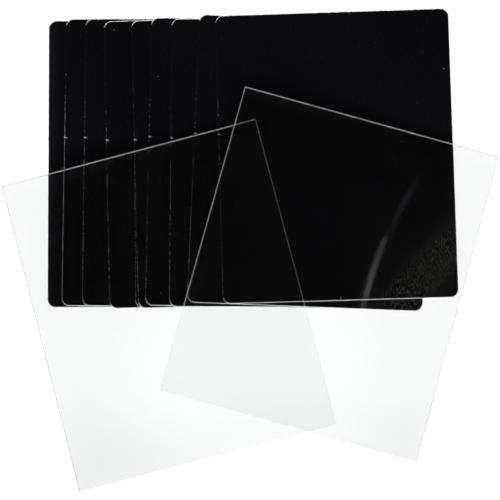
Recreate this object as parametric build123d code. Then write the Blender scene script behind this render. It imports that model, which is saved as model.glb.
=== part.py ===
"""A glass negative carrier set, laid out on a table.

Ten thin black mask blanks lie fanned out in a pile, and two clear glass plates are crossed
over them. Each blank and each plate is one loose piece.

Units are millimetres. +Z is up, +X runs along the fan from the bottom blank to the top one,
and +Y runs along the blanks' length. The origin is the centre of the bottom blank's underside.
"""
from build123d import *
import math
import os

# Mask blanks: thin lacquered sheet, punched to one outline with rounded corners.
BLANK_WIDTH = 101.6
BLANK_LENGTH = 126.4
BLANK_THICKNESS = 0.5
BLANK_CORNER_RADIUS = 3.4

# Break-off nubs that the punching tool leaves on both long edges and on the near short edge.
NUB_RADIUS = 0.5
NUB_STANDOFF = 0.2
SIDE_NUB_OFFSET = 10.7

# Where each blank lies, from the bottom of the pile up: centre X, centre Y, turn in degrees.
BLANK_PLACES = [
    (0.0, 0.0, 0.2),
    (6.9, 0.1, -0.5),
    (15.7, 0.2, -0.3),
    (25.7, 0.5, 1.5),
    (37.9, 0.0, 0.7),
    (38.0, 0.7, 1.7),
    (44.0, -0.4, -1.0),
    (53.7, -0.4, -0.3),
    (63.6, -0.4, -2.3),
    (74.9, 2.3, 1.6),
]

# Glass plates: float glass, square corners, every edge seamed to a small arris.
GLASS_WIDTH = 113.8
GLASS_LENGTH = 136.3
GLASS_THICKNESS = 3.0
GLASS_ARRIS = 0.3

# Where each plate lies: centre X, centre Y, turn in degrees.
LOWER_GLASS_PLACE = (2.2, -62.4, 14.7)
UPPER_GLASS_PLACE = (72.1, -49.1, -15.5)

# The air left where the upper plate bears on an edge, so that no two solids share volume.
BEARING_GAP = 0.02


def plan_point(place, across, along):
    """A point given in a piece's own plan axes, as a point of the layout."""
    centre_x, centre_y, turn = place
    return Vector(centre_x, centre_y, 0) + Vector(across, along, 0).rotate(Axis.Z, turn)


def plan_crossing(start_a, way_a, start_b, way_b):
    """Where two straight plan lines cross, each given by a point and a direction."""
    denominator = way_a.X * way_b.Y - way_a.Y * way_b.X
    gap = start_b - start_a
    reach = (gap.X * way_b.Y - gap.Y * way_b.X) / denominator
    return start_a + way_a * reach


def mask_blank(level):
    """One blank at its place in the pile. Level 0 lies on the table."""
    half_width = BLANK_WIDTH / 2
    half_length = BLANK_LENGTH / 2
    inset = NUB_RADIUS - NUB_STANDOFF
    nub_places = [
        (-half_width + inset, SIDE_NUB_OFFSET),
        (half_width - inset, SIDE_NUB_OFFSET),
        (0, -half_length + inset),
    ]
    outline = RectangleRounded(BLANK_WIDTH, BLANK_LENGTH, BLANK_CORNER_RADIUS)
    for across, along in nub_places:
        outline += Pos(across, along) * Circle(NUB_RADIUS)
    sheet = extrude(outline, BLANK_THICKNESS)
    centre_x, centre_y, turn = BLANK_PLACES[level]
    return Pos(centre_x, centre_y, level * BLANK_THICKNESS) * Rot(0, 0, turn) * sheet


def glass_plate():
    """One plate with its underside centred on the origin."""
    lift_to_base = (Align.CENTER, Align.CENTER, Align.MIN)
    plate = Box(GLASS_WIDTH, GLASS_LENGTH, GLASS_THICKNESS, align=lift_to_base)
    return chamfer(plate.edges(), GLASS_ARRIS)


def lower_glass():
    """The plate that lies flat on the top blank."""
    centre_x, centre_y, turn = LOWER_GLASS_PLACE
    pile_height = len(BLANK_PLACES) * BLANK_THICKNESS
    return Pos(centre_x, centre_y, pile_height) * Rot(0, 0, turn) * glass_plate()


def upper_glass():
    """The plate that leans: on the lower plate's right edge and on the top blank's right edge."""
    pile_height = len(BLANK_PLACES) * BLANK_THICKNESS
    edge_across = GLASS_WIDTH / 2 - GLASS_ARRIS
    edge_along = GLASS_LENGTH / 2 - GLASS_ARRIS
    edge_height = Vector(0, 0, pile_height + GLASS_THICKNESS)
    near_bearing = plan_point(LOWER_GLASS_PLACE, edge_across, -edge_along) + edge_height
    far_bearing = plan_point(LOWER_GLASS_PLACE, edge_across, edge_along) + edge_height

    top_blank = BLANK_PLACES[-1]
    blank_edge = plan_point(top_blank, BLANK_WIDTH / 2, 0)
    blank_edge_way = Vector(0, 1, 0).rotate(Axis.Z, top_blank[2])
    glass_edge = plan_point(UPPER_GLASS_PLACE, 0, GLASS_LENGTH / 2)
    glass_edge_way = Vector(1, 0, 0).rotate(Axis.Z, UPPER_GLASS_PLACE[2])
    low_bearing = plan_crossing(blank_edge, blank_edge_way, glass_edge, glass_edge_way)
    low_bearing += Vector(0, 0, pile_height)

    normal = (low_bearing - near_bearing).cross(far_bearing - near_bearing).normalized()
    centre = plan_point(UPPER_GLASS_PLACE, 0, 0)
    rise = near_bearing.Z - normal.X / normal.Z * (centre.X - near_bearing.X)
    rise -= normal.Y / normal.Z * (centre.Y - near_bearing.Y)
    width_way = glass_edge_way - normal * glass_edge_way.dot(normal)
    seat = Plane(
        origin=(centre.X, centre.Y, rise + BEARING_GAP),
        x_dir=width_way,
        z_dir=normal,
    )
    return seat.location * glass_plate()


os.makedirs("parts", exist_ok=True)

for level in range(len(BLANK_PLACES)):
    export_step(mask_blank(level), f"parts/mask_blank_{level + 1:02d}.step")

export_step(lower_glass(), "parts/lower_glass_plate.step")
export_step(upper_glass(), "parts/upper_glass_plate.step")
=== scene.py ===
"""Looks of a glass negative carrier set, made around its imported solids.

The set lies loose on a table: thin black lacquered mask blanks fanned out in a pile, and two
clear glass plates crossed over them. Every length is in metres unless its name says otherwise.
"""
import math

import bpy
import numpy as np
from bpy.props import FloatProperty, FloatVectorProperty, PointerProperty
from mathutils import Matrix, Vector


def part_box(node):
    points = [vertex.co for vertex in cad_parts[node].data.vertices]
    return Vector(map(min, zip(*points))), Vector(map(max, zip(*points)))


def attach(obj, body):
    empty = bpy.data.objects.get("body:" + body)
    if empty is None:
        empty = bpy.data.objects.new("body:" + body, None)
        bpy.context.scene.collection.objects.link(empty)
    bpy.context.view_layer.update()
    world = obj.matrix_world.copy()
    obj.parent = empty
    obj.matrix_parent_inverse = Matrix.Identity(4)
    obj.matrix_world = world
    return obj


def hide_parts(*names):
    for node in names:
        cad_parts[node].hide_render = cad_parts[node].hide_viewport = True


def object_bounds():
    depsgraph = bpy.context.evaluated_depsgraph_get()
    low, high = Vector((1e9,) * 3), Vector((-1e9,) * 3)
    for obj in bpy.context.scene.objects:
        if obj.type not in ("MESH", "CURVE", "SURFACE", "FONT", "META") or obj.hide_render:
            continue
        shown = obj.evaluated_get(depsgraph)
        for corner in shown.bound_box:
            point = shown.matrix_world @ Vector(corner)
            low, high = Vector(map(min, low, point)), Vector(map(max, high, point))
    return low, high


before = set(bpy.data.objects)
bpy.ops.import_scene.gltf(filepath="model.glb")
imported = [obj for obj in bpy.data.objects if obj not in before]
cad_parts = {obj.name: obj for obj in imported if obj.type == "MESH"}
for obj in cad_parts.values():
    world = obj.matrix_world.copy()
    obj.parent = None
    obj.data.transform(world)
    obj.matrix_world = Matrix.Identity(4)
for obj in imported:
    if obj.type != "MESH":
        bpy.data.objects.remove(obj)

bl_info = {
    "name": "Glass Negative Carrier Set",
    "version": (1, 0, 0),
    "blender": (4, 5, 0),
    "location": "3D View > Sidebar > Carrier",
    "description": "Builds the blanks, the glass plates and the stage of a negative carrier set",
    "category": "Object",
}

MM = 0.001
CAD_BOX = [list(corner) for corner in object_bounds()]
BLANKS = sorted(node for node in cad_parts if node.startswith("mask_blank"))
PLATES = ["lower_glass_plate", "upper_glass_plate"]
CLEAR, GROUND = 0, 1
CLEARANCE = 0.002 * MM
CLOSE_STEPS = np.linspace(-0.6, 0.6, 25) * MM

# One blank's left side is scraped bare below this height along it, fading in over the next run.
SCRAPED = {"mask_blank_02": 30 * MM}
SCRAPE_FADE = 12 * MM

# Where the marks on the lacquer lie, across and along the set: the band of painted reflection of
# the curved lamp, the soft bluish spot and the width of the painted sheen.
GLINT_PATCH_START = (100 * MM, -62 * MM)
GLINT_PATCH_RUN = (0.73, 0.685)
GLINT_PATCH_FADE = (-14 * MM, 3 * MM)
# A soft, paler bluish spot on the lacquer: its middle, its radius and its squeeze along the set.
BLUISH_SPOT = (16.5 * MM, -50 * MM)
BLUISH_SPOT_RADIUS = 4.5 * MM
BLUISH_SPOT_SQUEEZE = 0.8
# Width of the painted sheen along the undermost blank's left side.
SHEEN_WIDTH = 6 * MM

# How far the camera's aim lies from the middle of the set, in millimetres.
AIM_SHIFT = (-0.13, -0.38, 0)

# Features of each noise in a metre: one number, or one each along X, Y and Z.
FINE_TEAR = 1300
COARSE_TEAR = 70
CLOUDS = 14
METAL_GRIND = 2500
ROLLED_GRAIN = (1500, 330, 900)
# The grain that breaks up the painted reflection of the curved lamp.
GLINT_PATCH_GRAIN = (1650, 620, 620)
SMEARS = (35, 12, 35)
EDGE_GRIND = 1800

LAMP_HEIGHT = 1.0
WARM = (1.0, 0.98, 0.88)
COOL = (0.72, 0.84, 1.0)

# The curved lamp overhead, as streaks in the upper plate: where each run starts and ends across
# and along the plate in millimetres, its width in metres, its radiance and its colour.
GLINTS = [
    ([(25.8, 50.9), (23.9, 42.9)], 0.0042, 0.050, COOL),
    ([(23.9, 42.9), (21.4, 31.4)], 0.0050, 0.090, COOL),
    ([(21.4, 31.4), (20.4, 22.4)], 0.0042, 0.042, COOL),
    ([(18.9, 21.3), (17.6, 6.1)], 0.0040, 0.40, WARM),
    ([(18.2, 12.0), (17.6, 6.1)], 0.0040, 0.09, WARM),
    ([(17.6, 6.1), (17.5, -7.6)], 0.0042, 0.62, WARM),
    ([(17.5, -7.6), (17.5, -11.6)], 0.0042, 0.38, WARM),
    ([(17.8, 15.0), (16.2, -11.0)], 0.0085, 0.03, WARM),
]

# Each soft box: its place from the middle of the set, its size and its power.
SOFT_BOXES = {
    "far_soft_box": ((0, 1.08, 1.08), (3.6, 0.6), 32),
    "near_soft_box": ((0, -1.08, 1.08), (3.6, 0.6), 40),
    "low_side_soft_box": ((-1.4, 0, 0.25), (1.2, 0.3), 0.9),
    "high_side_soft_box": ((1.4, 0, 0.25), (1.2, 0.3), 6.0),
}


# ---------------------------------------------------------------- where the CAD pieces lie

class Lie:
    """Where a flat CAD piece lies: its centre, its own directions and its half sizes.

    The directions are the principal axes of its surface: the matrix of second moments adds,
    for each triangle, a twelfth of its area times the outer products of its corners and nine
    times that of its middle. The long way is along, the short way across, the thin way up.
    """

    def __init__(self, node):
        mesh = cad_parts[node].data
        mesh.calc_loop_triangles()
        corners = np.empty(len(mesh.loop_triangles) * 3, np.int32)
        mesh.loop_triangles.foreach_get("vertices", corners)
        points = np.empty(len(mesh.vertices) * 3)
        mesh.vertices.foreach_get("co", points)
        points = points.reshape(-1, 3)
        triangles = points[corners].reshape(-1, 3, 3)
        sides = triangles[:, 1:] - triangles[:, :1]
        areas = np.linalg.norm(np.cross(sides[:, 0], sides[:, 1]), axis=1) / 2
        middles = triangles.mean(axis=1)
        self.centre = (middles * areas[:, None]).sum(axis=0) / areas.sum()
        triangles = triangles - self.centre
        middles = middles - self.centre
        moments = np.einsum("t,tci,tcj->ij", areas / 12, triangles, triangles)
        moments += np.einsum("t,ti,tj->ij", areas * 9 / 12, middles, middles)
        _, axes = np.linalg.eigh(moments)
        self.up = axes[:, 0] * np.sign(axes[2, 0])
        self.along = axes[:, 2] * np.sign(axes[1, 2])
        self.across = np.cross(self.along, self.up)
        reach = (points - self.centre) @ np.stack([self.across, self.along, self.up]).T
        self.half_width, self.half_length, self.half_height = reach.max(axis=0)

    def place(self, flat, height):
        """Points given across and along the piece and above its underside, in the row frame."""
        lift = height - self.half_height
        return (
            self.centre
            + flat[..., :1] * self.across
            + flat[..., 1:2] * self.along
            + lift[..., None] * self.up
        )


# ---------------------------------------------------------------- surfaces

def ripple(turn, seed, waves):
    """A smooth closed ripple from 0 to 1 round a loop.

    It is the sum of cosines of whole numbers of turns with random phases, scaled to that range.
    """
    random = np.random.default_rng(seed)
    terms = 60
    counts = random.integers(*waves, terms)
    phases = random.uniform(0, 2 * np.pi, terms)
    total = np.cos(2 * np.pi * turn[:, None] * counts + phases).sum(axis=1)
    return (total - total.min()) / (total.max() - total.min())


def outline(half_width, half_length, radius, spacing, corner_steps, close_ups=None):
    """Points and outward directions round a rectangle with rounded corners, anticlockwise.

    Each side is its normal times its distance plus its tangent times an even run of steps,
    with closer steps round each close-up. Each corner is a quarter circle about its centre.
    """
    close_ups = close_ups or {}
    points, normals = [], []
    for side in range(4):
        facing = side * math.pi / 2
        normal = np.array([math.cos(facing), math.sin(facing)])
        tangent = np.array([-normal[1], normal[0]])
        distance = half_width if side % 2 == 0 else half_length
        reach = (half_length if side % 2 == 0 else half_width) - radius
        run = np.linspace(-reach, reach, max(2, int(2 * reach / spacing)))
        if side in close_ups:
            run = np.union1d(run, close_ups[side] + CLOSE_STEPS)
        points.append(normal * distance + tangent * run[:, None])
        normals.append(np.repeat(normal[None], len(run), axis=0))
        turn = facing + np.linspace(0, math.pi / 2, corner_steps + 2)[1:-1]
        away = np.stack([np.cos(turn), np.sin(turn)], axis=1)
        points.append(normal * (distance - radius) + tangent * reach + away * radius)
        normals.append(away)
    return np.concatenate(points), np.concatenate(normals)


def closed_shell(name, rings, ring_facts=None, band_finishes=None, smooth=True):
    """A closed mesh through stacked rings of points, anticlockwise as seen from the last.

    The first and last rings are drawn together to their middles. ring_facts names a value for
    each point of the rings, and band_finishes gives each band between rings its finish.
    """
    rows, columns = rings.shape[:2]
    inner = rings[1:-1].reshape(-1, 3)
    points = np.concatenate([rings[:1].mean(axis=1), inner, rings[-1:].mean(axis=1)])
    last = len(points) - 1
    here = np.arange(columns)
    ahead = np.roll(here, -1)
    base = 1 + np.arange(rows - 3)[:, None] * columns
    over = base + columns
    quads = np.stack([base + here, base + ahead, over + ahead, over + here], -1)
    top = 1 + (rows - 3) * columns
    start_fan = np.stack([np.zeros(columns, int), 1 + ahead, 1 + here], -1)
    end_fan = np.stack([np.full(columns, last), top + here, top + ahead], -1)
    faces = start_fan.tolist() + quads.reshape(-1, 4).tolist() + end_fan.tolist()
    mesh = bpy.data.meshes.new(name)
    mesh.from_pydata(points.tolist(), [], faces)
    for fact, values in (ring_facts or {}).items():
        spread = np.concatenate([values[0, :1], values[1:-1].ravel(), values[-1, :1]])
        mesh.attributes.new(fact, "FLOAT", "POINT").data.foreach_set("value", spread)
    if band_finishes is not None:
        finishes = np.repeat(band_finishes, columns).astype(np.int32)
        mesh.polygons.foreach_set("material_index", finishes)
    mesh.polygons.foreach_set("use_smooth", [smooth] * len(mesh.polygons))
    mesh.update()
    piece = bpy.data.objects.new(name, mesh)
    bpy.context.scene.collection.objects.link(piece)
    return piece


# ---------------------------------------------------------------- shader maths

class Socket:
    """A shader value that takes part in Python arithmetic. Each sign adds one Math node."""

    def __init__(self, paint, link):
        self.paint = paint
        self.link = link

    def __add__(self, other):
        return self.paint.math("ADD", self, other)

    def __sub__(self, other):
        return self.paint.math("SUBTRACT", self, other)

    def __rsub__(self, other):
        return self.paint.math("SUBTRACT", other, self)

    def __mul__(self, other):
        return self.paint.math("MULTIPLY", self, other)

    def __gt__(self, other):
        return self.paint.math("GREATER_THAN", self, other)

    __radd__ = __add__


class Paint:
    """A material under construction."""

    def __init__(self, name):
        self.material = bpy.data.materials.new(name)
        self.material.use_nodes = True
        self.tree = self.material.node_tree
        self.tree.nodes.clear()
        self.place = self.node("TexCoord", {}, {}, "Object")

    def node(self, kind, settings, values, result=0):
        """One node: its settings first, then its sockets' values or links. Gives one output."""
        made = self.tree.nodes.new("ShaderNode" + kind)
        for setting, value in settings.items():
            setattr(made, setting, value)
        known = {socket.identifier: socket for socket in made.inputs}
        for name, value in values.items():
            socket = known.get(name) or made.inputs[name]
            if isinstance(value, Socket):
                self.tree.links.new(value.link, socket)
            else:
                socket.default_value = value
        results = {socket.identifier: socket for socket in made.outputs}
        if isinstance(result, str):
            return Socket(self, results.get(result) or made.outputs[result])
        return Socket(self, made.outputs[result]) if len(made.outputs) else made

    def math(self, operation, *terms):
        """One Math node on up to two terms."""
        values = dict(zip(("Value", "Value_001"), terms))
        return self.node("Math", {"operation": operation}, values)

    def step(self, value, low, high):
        """0 at low, 1 at high, and a smooth rise between."""
        values = {"Value": value, "From Min": low, "From Max": high}
        return self.node("MapRange", {"interpolation_type": "SMOOTHSTEP"}, values)

    def mix(self, share, first, second):
        """first where share is 0 and second where it is 1, for colours."""
        values = {"Factor_Float": share, "A_Color": first, "B_Color": second}
        return self.node("Mix", {"data_type": "RGBA"}, values, "Result_Color")

    def stretched(self, scale, shift=(0, 0, 0)):
        """Places in the piece's own metres, scaled along X, Y and Z and then shifted."""
        values = {"Vector": self.place, "Scale": scale, "Location": shift}
        return self.node("Mapping", {}, values)

    def axis(self, letter):
        """The place along X, Y or Z in metres."""
        return self.node("SeparateXYZ", {}, {"Vector": self.place}, letter)

    def far_from(self, scale, shift):
        """The distance from the origin once places are scaled and shifted."""
        values = {"Vector": self.stretched(scale, shift)}
        return self.node("VectorMath", {"operation": "LENGTH"}, values, "Value")

    def fact(self, name):
        """A value that the mesh holds at each point."""
        return self.node("Attribute", {"attribute_name": name}, {}, "Fac")

    def noise(self, scale, detail=2.0, roughness=0.5):
        """Smooth noise with that many features in a metre along X, Y and Z, or all three."""
        scale = scale if isinstance(scale, tuple) else (scale,) * 3
        values = {"Vector": self.stretched(scale), "Scale": 1.0}
        values |= {"Detail": detail, "Roughness": roughness}
        return self.node("TexNoise", {}, values)

    def specks(self, spacing, size, share, shift=(0, 0, 0)):
        """1 on small round specks: one in each square of that spacing, for a share of them."""
        values = {"Vector": self.stretched((1 / spacing,) * 3, shift), "Scale": 1.0}
        plan = {"voronoi_dimensions": "2D"}
        distance = self.node("TexVoronoi", plan, values, "Distance")
        chance = self.node("TexVoronoi", plan, values, "Color")
        chance = self.node("SeparateColor", {}, {"Color": chance})
        radius = chance * (size / spacing)
        return self.step(distance, radius, radius * 0.4) * (chance > 1 - share)

    def finish(self, values):
        """The material, with its one Principled shader linked up."""
        shader = self.node("BsdfPrincipled", {}, values)
        self.node("OutputMaterial", {}, {"Surface": shader})
        return self.material


# ---------------------------------------------------------------- finishes

def lacquer(look):
    """Black gloss lacquer on rolled aluminium, worn to bright metal along the cut edge.

    The edge wears through where its own wear and a torn noise add up to about one, but never
    on the faces. The marks on the black are laid over each other, from haze to dust. Among
    them are a painted sheen along the undermost blank's left side, a painted reflection of the
    curved lamp on the grain, and a painted highlight on the thin lacquer over the rim.
    """
    paint = Paint("black_lacquer_on_aluminium")
    edge, nub = paint.fact("bare"), paint.fact("nub")
    across, along = paint.axis("X"), paint.axis("Y")
    cloud = paint.noise(CLOUDS, 3)

    torn = paint.noise(FINE_TEAR) * 1.3 + paint.noise(COARSE_TEAR) * 0.3
    bare = paint.step(edge + torn, 0.95, 1.05) * paint.step(edge, 0.03, 0.1)
    bare = paint.math("MAXIMUM", bare, nub)

    dust = paint.specks(2.3 * MM, 0.17 * MM, 0.12) * 0.1
    grit = paint.specks(21 * MM, 0.3 * MM, 0.3, (31, 17, 5)) * 0.5
    specks = paint.math("MAXIMUM", dust, grit)

    # Painted sheen: a paler bluish band along the undermost blank's left side stands in for light
    # falling on that side.
    low_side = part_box(BLANKS[0])[0][0]
    left_sheen = paint.step(across, low_side + SHEEN_WIDTH, low_side)

    # Painted reflection: grain tops along a band where the curved lamp overhead mirrors in the
    # lacquer are painted lighter.
    (start_x, start_y), (run_x, run_y) = GLINT_PATCH_START, GLINT_PATCH_RUN
    off_line = (along - start_y) * run_x - (across - start_x) * run_y
    off_line = paint.math("ABSOLUTE", off_line)
    glinting = paint.step(off_line, look.glint_band_width, 0.3 * look.glint_band_width)
    glinting = glinting * paint.step(across, start_x + GLINT_PATCH_FADE[0], start_x + GLINT_PATCH_FADE[1])
    glinting = glinting * paint.step(paint.noise(GLINT_PATCH_GRAIN), 0.38, 0.64)

    # A soft, paler bluish spot on the lacquer.
    bluish_spot = paint.far_from(
        (1, BLUISH_SPOT_SQUEEZE, 0), (-BLUISH_SPOT[0], -BLUISH_SPOT[1] * BLUISH_SPOT_SQUEEZE, 0))
    bluish_spot = paint.step(bluish_spot, BLUISH_SPOT_RADIUS, 0)

    black = paint.mix(cloud * 0.6, (*look.lacquer_colour, 1), (*look.hazed_colour, 1))
    black = paint.mix(left_sheen * 0.8, black, (*look.pale_bluish_colour, 1))
    black = paint.mix(bluish_spot * 0.6, black, (*look.pale_bluish_colour, 1))
    black = paint.mix(glinting, black, (*look.glint_colour, 1))
    # The rim is painted a lighter grey. Part of this is the thinner lacquer over the rolled edge,
    # and part is a painted highlight for the faint line of light the rim catches.
    black = paint.mix(paint.step(edge, 0.03, 0.3), black, (*look.thin_rim_and_highlight_colour, 1))
    dusty = paint.mix(specks * look.dust, black, (*look.dust_colour, 1))
    metal = paint.mix(
        paint.noise(METAL_GRIND), (*look.edge_colour, 1), (*look.dull_edge_colour, 1))
    gloss = look.gloss_roughness + cloud * 0.01 + specks * 0.3
    height = paint.noise(ROLLED_GRAIN, 3, roughness=0.6) * look.grain_depth
    bump = paint.node("Bump", {}, {"Strength": 1.0, "Distance": 1.0, "Height": height})
    return paint.finish({
        "Base Color": paint.mix(bare, dusty, metal),
        "Roughness": gloss * (1 - bare) + bare * look.edge_roughness + nub * 0.15,
        "Metallic": bare,
        "IOR": 1.5,
        "Normal": bump,
    })


def clear_glass(look):
    """Polished float glass with a faint touch of green, painted darker towards the set's near end
    as shade.
    """
    paint = Paint("clear_float_glass")
    smear = paint.step(paint.noise(SMEARS, 4), 0.5, 0.8)
    # Painted shade: the glass darkens towards the set's near end, standing in for the light
    # falling off there.
    shaded = paint.step(paint.axis("Y"), look.shade_from, CAD_BOX[0][1])
    return paint.finish({
        "Base Color": paint.mix(shaded, (*look.tint, 1), (*look.shaded_tint, 1)),
        "Roughness": 0.015 + smear * 0.012,
        "IOR": look.refraction,
        "Transmission Weight": 1.0,
    })


def ground_glass(look):
    """The seamed edge of a plate: ground white, half clear where it is wet through, and painted
    darker towards the set's near end as shade.
    """
    paint = Paint("ground_glass_edge")
    grind = paint.noise(EDGE_GRIND, 3)
    # Painted shade: the ground edge darkens towards the set's near end in the same way.
    shaded = paint.step(paint.axis("Y"), look.shade_from, CAD_BOX[0][1])
    clean = paint.mix(grind, (*look.edge_tint, 1), (*look.pale_edge_tint, 1))
    bump = paint.node("Bump", {}, {"Strength": 0.4, "Distance": 0.03 * MM, "Height": grind})
    return paint.finish({
        "Base Color": paint.mix(shaded * 0.8, clean, (*look.shaded_edge_tint, 1)),
        "Roughness": 0.35 + grind * 0.3,
        "IOR": look.refraction,
        "Transmission Weight": look.edge_clearness,
        "Normal": bump,
    })


# ---------------------------------------------------------------- settings

class BlankSettings(bpy.types.PropertyGroup):
    """Sizes and colours of the mask blanks."""

    corner_radius: FloatProperty(
        name="Corner Radius", description="Radius of a blank's rounded corners",
        default=3.4 * MM, unit="LENGTH")
    air_gap: FloatProperty(
        name="Air Gap", description="Air left between a blank and the one on it",
        default=0.03 * MM, unit="LENGTH")
    roll_width: FloatProperty(
        name="Rolled Edge Width", description="How far the punch rolled the upper edge over",
        default=0.3 * MM, unit="LENGTH")
    roll_drop: FloatProperty(
        name="Rolled Edge Drop", description="How far the rolled edge falls",
        default=0.14 * MM, unit="LENGTH")
    burr: FloatProperty(
        name="Burr Width", description="Width of the rounding under the cut edge",
        default=0.05 * MM, unit="LENGTH")
    ragged: FloatProperty(
        name="Ragged Cut", description="Depth of the cut's unevenness",
        default=0.07 * MM, unit="LENGTH")
    nub_height: FloatProperty(
        name="Nub Height", description="How far a break-off nub stands out",
        default=0.2 * MM, unit="LENGTH")
    nub_radius: FloatProperty(
        name="Nub Radius", description="Radius of a break-off nub",
        default=0.5 * MM, unit="LENGTH")
    nub_place: FloatProperty(
        name="Nub Place", description="Distance of the side nubs from the middle of the side",
        default=10.7 * MM, unit="LENGTH")
    lacquer_colour: FloatVectorProperty(
        name="Lacquer", description="Colour of the clean lacquer",
        default=(0.0015, 0.0015, 0.0022), subtype="COLOR")
    hazed_colour: FloatVectorProperty(
        name="Hazed Lacquer", description="Colour of the lacquer where it is dullest",
        default=(0.0040, 0.0042, 0.0056), subtype="COLOR")
    # Paler bluish lacquer: the painted sheen along the undermost blank's left side, and the soft
    # bluish spot.
    pale_bluish_colour: FloatVectorProperty(
        name="Pale Bluish Lacquer", description="Colour of the lacquer along the undermost blank's side",
        default=(0.0048, 0.0053, 0.0072), subtype="COLOR")
    edge_colour: FloatVectorProperty(
        name="Cut Edge", description="Colour of the bare cut edge",
        default=(0.86, 0.87, 0.86), subtype="COLOR")
    dull_edge_colour: FloatVectorProperty(
        name="Dull Cut Edge", description="Colour of the bare cut edge where it is dullest",
        default=(0.45, 0.45, 0.44), subtype="COLOR")
    dust_colour: FloatVectorProperty(
        name="Dust Colour", description="Colour of the dust specks",
        default=(0.30, 0.31, 0.33), subtype="COLOR")
    gloss_roughness: FloatProperty(
        name="Gloss Roughness", description="Roughness of the clean lacquer",
        default=0.10, subtype="FACTOR")
    grain_depth: FloatProperty(
        name="Grain Depth", description="Depth of the rolled grain",
        default=0.006 * MM, unit="LENGTH")
    # The band of painted reflection of the curved lamp, on the grain's tops.
    glint_band_width: FloatProperty(
        name="Glint Band Width", description="Half the width of the scuffed band",
        default=13.5 * MM, unit="LENGTH")
    glint_colour: FloatVectorProperty(
        name="Painted Glint", description="Colour of the grain's tops where it is scuffed",
        default=(0.024, 0.0235, 0.019), subtype="COLOR")
    # Grey of the rim: thinner lacquer over the rolled edge, and a painted highlight for the light
    # it catches.
    thin_rim_and_highlight_colour: FloatVectorProperty(
        name="Thin Lacquer and Rim Highlight", description="Colour of the lacquer where it runs thin over the edge",
        default=(0.05, 0.05, 0.052), subtype="COLOR")
    edge_roughness: FloatProperty(
        name="Cut Edge Roughness", description="Roughness of the bare cut edge",
        default=0.32, subtype="FACTOR")
    dust: FloatProperty(
        name="Dust", description="Strength of the dust specks",
        default=0.8, subtype="FACTOR")


class GlassSettings(bpy.types.PropertyGroup):
    """Sizes and colours of the glass plates."""

    corner_cut: FloatProperty(
        name="Corner Cut", description="How far a plate's upright corners are ground back",
        default=0.3 * MM, unit="LENGTH")
    arris: FloatProperty(
        name="Arris", description="Width of the ground edge",
        default=0.10 * MM, unit="LENGTH")
    waver: FloatProperty(
        name="Arris Waver", description="How much the ground edge's width wanders",
        default=0.04 * MM, unit="LENGTH")
    refraction: FloatProperty(
        name="Refraction", description="Refractive index of the glass", default=1.52)
    tint: FloatVectorProperty(
        name="Tint", description="Colour of the clear glass",
        default=(0.986, 0.996, 0.991), subtype="COLOR")
    # Painted shade at the plates' near ends: the ground edge's tint, the glass's tint, and where
    # the shade begins.
    shaded_edge_tint: FloatVectorProperty(
        name="Shaded Edge", description="Colour of the ground edge at the plates' handled ends",
        default=(0.55, 0.60, 0.58), subtype="COLOR")
    shaded_tint: FloatVectorProperty(
        name="Shaded Tint", description="Colour of the glass where painted shade darkens it",
        default=(0.905, 0.925, 0.918), subtype="COLOR")
    shade_from: FloatProperty(
        name="Shade From", description="Where along the set the painted shade of the near end begins",
        default=-90 * MM, unit="LENGTH")
    edge_tint: FloatVectorProperty(
        name="Ground Edge Tint", description="Colour of the ground edge",
        default=(0.80, 0.90, 0.86), subtype="COLOR")
    pale_edge_tint: FloatVectorProperty(
        name="Pale Edge Tint", description="Colour of the ground edge where it is palest",
        default=(0.90, 0.97, 0.94), subtype="COLOR")
    edge_clearness: FloatProperty(
        name="Ground Edge Clearness", description="How much light the ground edge lets through",
        default=0.45, subtype="FACTOR")


class StageSettings(bpy.types.PropertyGroup):
    """The floor, the lights and the camera."""

    floor_size: FloatProperty(
        name="Floor Size", description="Side of the square floor", default=6.0, unit="LENGTH")
    floor_colour: FloatVectorProperty(
        name="Floor", description="Colour of the floor", default=(0.05, 0.05, 0.05),
        subtype="COLOR")
    floor_glow: FloatProperty(
        name="Floor Glow", description="Light that the floor gives from below", default=0.975)
    hot_spot: FloatProperty(
        name="Hot Spot", description="How much more the floor glows over its lamp", default=0.085,
        subtype="FACTOR")
    hot_spot_near: FloatProperty(
        name="Hot Spot Shift", description="How far the lamp lies towards the near side",
        default=50 * MM, unit="LENGTH")
    hot_spot_core: FloatProperty(
        name="Hot Spot Core", description="Radius within which the hot spot is brightest",
        default=30 * MM, unit="LENGTH")
    hot_spot_radius: FloatProperty(
        name="Hot Spot Radius", description="Radius at which the hot spot has faded away",
        default=74 * MM, unit="LENGTH")
    sky_seen: FloatVectorProperty(
        name="Room Seen", description="Colour of the room behind the table, for the camera",
        default=(0.92, 0.92, 0.93), subtype="COLOR")
    sky_felt: FloatProperty(
        name="Room Reflected", description="Strength of the room in reflections", default=0.012)
    distance: FloatProperty(
        name="Camera Distance", description="From the lens to the table", default=1.001,
        unit="LENGTH")
    view_width: FloatProperty(
        name="View Width", description="Width of the table that the camera sees", default=0.2176,
        unit="LENGTH")
    lean_near: FloatProperty(
        name="Camera Lean", description="How far the camera leans towards the near side",
        default=math.radians(4.81), subtype="ANGLE")
    lean_right: FloatProperty(
        name="Camera Side Lean", description="How far the camera leans to the right",
        default=math.radians(1.56), subtype="ANGLE")


class CarrierSettings(bpy.types.PropertyGroup):
    """All settings of the set."""

    blank: PointerProperty(type=BlankSettings)
    glass: PointerProperty(type=GlassSettings)
    stage: PointerProperty(type=StageSettings)


# ---------------------------------------------------------------- pieces

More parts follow.
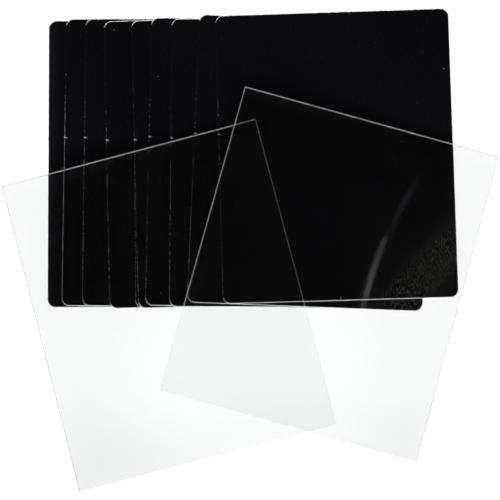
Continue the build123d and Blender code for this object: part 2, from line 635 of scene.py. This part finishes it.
def blank_profile(look, thickness):
    """A blank's edge in section, from its underside to its face: inset, height and bareness.

    Below is a quarter circle as wide as the burr, then the straight cut, and above a quarter
    ellipse as wide and as deep as the punch rolled it.
    """
    steps = 6
    quarter = np.linspace(0, math.pi / 2, steps)
    rise, run = 1 - np.cos(quarter), 1 - np.sin(quarter)
    inset = np.concatenate([look.burr * run, look.roll_width * rise])
    height = np.concatenate([look.burr * rise, thickness - look.roll_drop * run])
    bare = np.concatenate([np.linspace(0.6, 1, steps), np.linspace(1, 0, steps)])
    return inset, height, bare


def rubbed(node, flat, outward, half_length):
    """How worn each point of a blank's cut edge is, from its use in the carrier.

    The short ends and the corners are rubbed to the metal: a smooth rise of the outward
    direction's part along the blank. The long sides are bare only in dots, a little more of
    them towards the near end, and one blank's side was scraped for most of its length.
    """
    ends = np.clip(np.abs(outward[:, 1]) * 2.2, 0, 1)
    ends = ends * ends * (3 - 2 * ends)
    nearness = (1 - flat[:, 1] / half_length) / 2
    sides = 0.02 + 0.24 * nearness
    if node in SCRAPED:
        below = np.clip((SCRAPED[node] - flat[:, 1]) / SCRAPE_FADE, 0, 1)
        sides = sides + 0.34 * below * (outward[:, 0] < 0)
    return sides + (1 - sides) * ends + 0.7 * ends * (outward[:, 1] < 0)


def nub_rise(look, flat, half_width, half_length):
    """How far the nubs stand out of a blank's side at each of its points.

    Each nub is the part of a circle past the side: the height of the circle over the point,
    from Pythagoras, less how far the circle is sunk behind the side.
    """
    spots = [(half_width, look.nub_place), (-half_width, look.nub_place), (0.0, -half_length)]
    sunk = look.nub_radius - look.nub_height
    rise = np.zeros(len(flat))
    for spot in spots:
        aside = ((flat - spot) ** 2).sum(axis=1)
        rise += np.maximum(np.sqrt(np.maximum(look.nub_radius ** 2 - aside, 0)) - sunk, 0)
    return rise


def build_blank(node, look, finish):
    """One blank: its outline swept round its edge profile and closed over both faces."""
    lie = Lie(node)
    level = BLANKS.index(node)
    half_width = lie.half_width - look.nub_height
    close_ups = {0: look.nub_place, 2: -look.nub_place, 3: 0.0}
    flat, outward = outline(
        half_width, lie.half_length, look.corner_radius, 0.9 * MM, 12, close_ups)
    turn = np.linspace(0, 1, len(flat), endpoint=False)
    rise = nub_rise(look, flat, half_width, lie.half_length)
    swell = rise - ripple(turn, level, (40, 190)) * look.ragged
    thickness = 2 * lie.half_height - look.air_gap
    inset, height, bare = blank_profile(look, thickness)
    edge = flat + outward * (swell[None, :, None] - inset[:, None, None])

    shrink = np.array([0.0, 0.3, 0.6, 0.85, 0.975])[:, None, None]
    face = np.zeros(len(shrink))
    rings = np.concatenate([edge[:1] * shrink, edge, edge[-1:] * shrink[::-1]])
    heights = np.concatenate([face, height, face + thickness])
    heights = np.repeat(heights[:, None], len(flat), axis=1) + look.air_gap / 2

    wear = rubbed(node, flat, outward, lie.half_length)
    bareness = np.concatenate([face, bare, face])[:, None] * wear
    on_rim = np.concatenate([face, np.ones(len(bare)), face])[:, None]
    broken = on_rim * (outward[:, 0] < 0) * 0.7 * (rise / look.nub_height) ** 2 * min(level, 1)

    facts = {"bare": bareness, "nub": broken}
    piece = closed_shell(node + "_sheet", lie.place(rings, heights), facts)
    piece.data.materials.append(finish)
    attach(piece, node)
    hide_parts(node)


def build_plate(node, look, finishes):
    """One glass plate: a square-cornered slab with a ground arris along every edge."""
    lie = Lie(node)
    seed = 50 + PLATES.index(node)
    half_width, half_length = lie.half_width - CLEARANCE, lie.half_length - CLEARANCE
    flat, outward = outline(half_width, half_length, look.corner_cut, 1.5 * MM, 2)
    turn = np.linspace(0, 1, len(flat), endpoint=False)
    arris = look.arris + look.waver * (ripple(turn, seed, (20, 160)) - 0.5)
    thickness = 2 * lie.half_height
    face = flat - outward * arris[:, None]
    low = np.zeros(len(flat))
    high = low + thickness
    rings = np.stack([flat * 0, face, flat, flat, face, flat * 0])
    heights = np.stack([low, low, arris, high - arris, high, high])
    bands = np.array([CLEAR, GROUND, CLEAR, GROUND, CLEAR])
    piece = closed_shell(
        node + "_body", lie.place(rings, heights), band_finishes=bands, smooth=False)
    for finish in finishes:
        piece.data.materials.append(finish)
    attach(piece, node)
    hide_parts(node)


class CARRIER_OT_blanks(bpy.types.Operator):
    """Build the fan of mask blanks"""

    bl_idname = "carrier.blanks"
    bl_label = "Mask Blanks"

    def execute(self, context):
        look = context.scene.carrier.blank
        finish = lacquer(look)
        for node in BLANKS:
            build_blank(node, look, finish)
        return {"FINISHED"}


class CARRIER_OT_plates(bpy.types.Operator):
    """Build the two glass plates"""

    bl_idname = "carrier.plates"
    bl_label = "Glass Plates"

    def execute(self, context):
        look = context.scene.carrier.glass
        finishes = [clear_glass(look), ground_glass(look)]
        for node in PLATES:
            build_plate(node, look, finishes)
        return {"FINISHED"}


# ---------------------------------------------------------------- stage

def area_lamp(name, size, power, colour=(1, 1, 1)):
    """A rectangular area light, hidden from the camera itself."""
    light = bpy.data.lights.new(name, "AREA")
    light.shape = "RECTANGLE"
    light.size, light.size_y = size
    light.energy = power
    light.color = colour
    lamp = bpy.data.objects.new(name, light)
    lamp.visible_camera = False
    bpy.context.scene.collection.objects.link(lamp)
    return lamp


def soft_box(name, place, aim, size, power):
    """A soft box at place, turned to aim."""
    lamp = area_lamp(name, size, power)
    lamp.location = place
    lamp.rotation_euler = (aim - place).to_track_quat("-Z", "Y").to_euler()


def glint(name, plate, run, width, radiance, colour):
    """A narrow lamp overhead that mirrors as a streak between two spots on a plate's face.

    Each spot is across and along the plate. The lamp's ends lie where the camera's rays to the
    spots go once they are mirrored about the plate's own up: a ray less twice its part along it.
    """
    eye = np.array(bpy.context.scene.camera.location)
    lie = Lie(plate)
    spots = lie.place(np.array(run) * MM, np.full(2, 2 * lie.half_height))
    rays = spots - eye
    rays = rays - 2 * (rays @ lie.up)[:, None] * lie.up
    ends = spots + rays * ((LAMP_HEIGHT - spots[:, 2:]) / rays[:, 2:])
    start, end = (Vector(point) for point in ends)
    forward = (end - start).normalized()
    back = (Vector((start + end) / 2) - Vector(spots.mean(axis=0))).normalized()
    aside = forward.cross(back).normalized()
    back = aside.cross(forward)
    length = (end - start).length
    lamp = area_lamp(name, (width, length), radiance * math.pi * width * length, colour)
    turn = Matrix((aside, forward, back)).transposed().to_4x4()
    lamp.matrix_world = Matrix.Translation((start + end) / 2) @ turn


def build_floor(look):
    """A flat square of table under the set."""
    half = look.floor_size / 2
    corners = [(-half, -half, 0), (half, -half, 0), (half, half, 0), (-half, half, 0)]
    mesh = bpy.data.meshes.new("table_top")
    mesh.from_pydata(corners, [], [[0, 1, 2, 3]])
    floor = bpy.data.objects.new("table_top", mesh)
    bpy.context.scene.collection.objects.link(floor)
    paint = Paint("white_table")
    middle_x, middle_y, _ = ((low + high) / 2 for low, high in zip(*CAD_BOX))
    away = paint.far_from((1, 1, 1), (-middle_x, look.hot_spot_near - middle_y, 0))
    over_lamp = paint.step(away, look.hot_spot_radius, look.hot_spot_core)
    glow = paint.mix(over_lamp, (1, 1, 1, 1), (1 + look.hot_spot,) * 3 + (1,))
    floor.data.materials.append(paint.finish({
        "Base Color": (*look.floor_colour, 1),
        "Roughness": 0.9,
        "Specular IOR Level": 0.0,
        "Emission Color": glow,
        "Emission Strength": look.floor_glow,
    }))


def build_sky(look):
    """A pale room for the camera, and a dim one for reflections."""
    world = bpy.data.worlds.new("studio")
    world.use_nodes = True
    tree = world.node_tree
    tree.nodes.clear()
    path = tree.nodes.new("ShaderNodeLightPath")
    seen = tree.nodes.new("ShaderNodeBackground")
    seen.inputs["Color"].default_value = (*look.sky_seen, 1)
    felt = tree.nodes.new("ShaderNodeBackground")
    felt.inputs["Color"].default_value = (1, 1, 1, 1)
    felt.inputs["Strength"].default_value = look.sky_felt
    mix = tree.nodes.new("ShaderNodeMixShader")
    out = tree.nodes.new("ShaderNodeOutputWorld")
    tree.links.new(path.outputs["Is Camera Ray"], mix.inputs["Fac"])
    tree.links.new(felt.outputs[0], mix.inputs[1])
    tree.links.new(seen.outputs[0], mix.inputs[2])
    tree.links.new(mix.outputs[0], out.inputs["Surface"])
    bpy.context.scene.world = world


def build_camera(look, centre):
    """A camera above the set, leaning a little towards its near side."""
    sin_x, cos_x = math.sin(look.lean_near), math.cos(look.lean_near)
    sin_y, cos_y = math.sin(look.lean_right), math.cos(look.lean_right)
    right = Vector((cos_y, 0, -sin_y))
    above = Vector((sin_x * sin_y, cos_x, sin_x * cos_y))
    back = Vector((cos_x * sin_y, -sin_x, cos_x * cos_y))
    lens = bpy.data.cameras.new("copy_camera")
    lens.sensor_width = 36
    lens.lens = lens.sensor_width * look.distance / look.view_width
    lens.clip_start = 0.01
    camera = bpy.data.objects.new("copy_camera", lens)
    turn = Matrix((right, above, back)).transposed().to_4x4()
    camera.matrix_world = Matrix.Translation(centre + back * look.distance) @ turn
    bpy.context.scene.collection.objects.link(camera)
    bpy.context.scene.camera = camera


class CARRIER_OT_stage(bpy.types.Operator):
    """Build the table, the lights and the camera"""

    bl_idname = "carrier.stage"
    bl_label = "Stage"

    def execute(self, context):
        look = context.scene.carrier.stage
        build_floor(look)
        build_sky(look)
        low, high = (Vector(corner) for corner in CAD_BOX)
        centre = (low + high) / 2
        centre.z = 0
        centre += Vector(AIM_SHIFT) * MM
        build_camera(look, centre)
        for name, (away, size, power) in SOFT_BOXES.items():
            soft_box(name, centre + Vector(away), centre, size, power)
        for order, (run, width, radiance, colour) in enumerate(GLINTS):
            glint(f"glint_{order}", "upper_glass_plate", run, width, radiance, colour)
        context.scene.view_settings.view_transform = "Standard"
        return {"FINISHED"}


class CARRIER_PT_panel(bpy.types.Panel):
    """Lists the set's pieces and its stage"""

    bl_idname = "CARRIER_PT_panel"
    bl_label = "Negative Carrier Set"
    bl_space_type = "VIEW_3D"
    bl_region_type = "UI"
    bl_category = "Carrier"

    def draw(self, context):
        for operator in OPERATORS:
            self.layout.operator(operator.bl_idname)


OPERATORS = [CARRIER_OT_blanks, CARRIER_OT_plates, CARRIER_OT_stage]
CLASSES = [
    BlankSettings,
    GlassSettings,
    StageSettings,
    CarrierSettings,
    *OPERATORS,
    CARRIER_PT_panel,
]


def register():
    for item in CLASSES:
        bpy.utils.register_class(item)
    bpy.types.Scene.carrier = PointerProperty(type=CarrierSettings)


def unregister():
    del bpy.types.Scene.carrier
    for item in reversed(CLASSES):
        bpy.utils.unregister_class(item)


def main():
    """Build the blanks, the plates and the stage."""
    register()
    bpy.ops.carrier.blanks()
    bpy.ops.carrier.plates()
    bpy.ops.carrier.stage()


if __name__ == "__main__":
    main()
